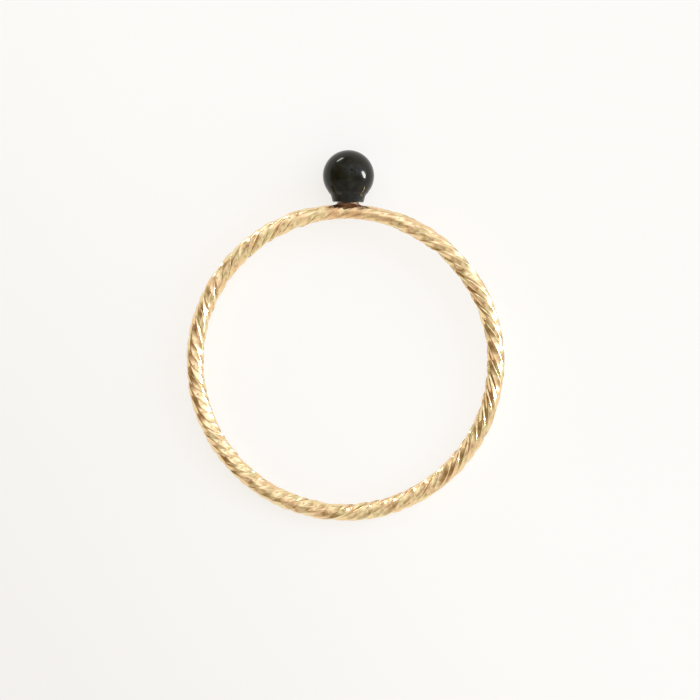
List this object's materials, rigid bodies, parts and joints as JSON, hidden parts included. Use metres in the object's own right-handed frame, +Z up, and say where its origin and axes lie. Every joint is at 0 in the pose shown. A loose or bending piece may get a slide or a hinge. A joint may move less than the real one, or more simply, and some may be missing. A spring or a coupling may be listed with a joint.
{
  "type": "black agate bead ring",
  "caption": "Thin finger ring of twisted, diamond-cut gold wire that carries a round black agate ball in a small black seat cup.",
  "frame": {"origin": "centre of the resting ring's outline on the surface that it lies on", "axes": "+Z up from the surface; +Y from the middle of the ring towards the ball; the ring lies on its side with its axis about 3 degrees off +Z, because the ball is thicker than the wire"},
  "size_m": [0.0186, 0.0216, 0.003],
  "materials": {
    "gold": "polished",
    "black_finish": "satin",
    "agate": "polished"
  },
  "bodies": {
    "root": {"band": "gold", "cup": "black_finish", "bead": "agate"}
  },
  "joints": []
}
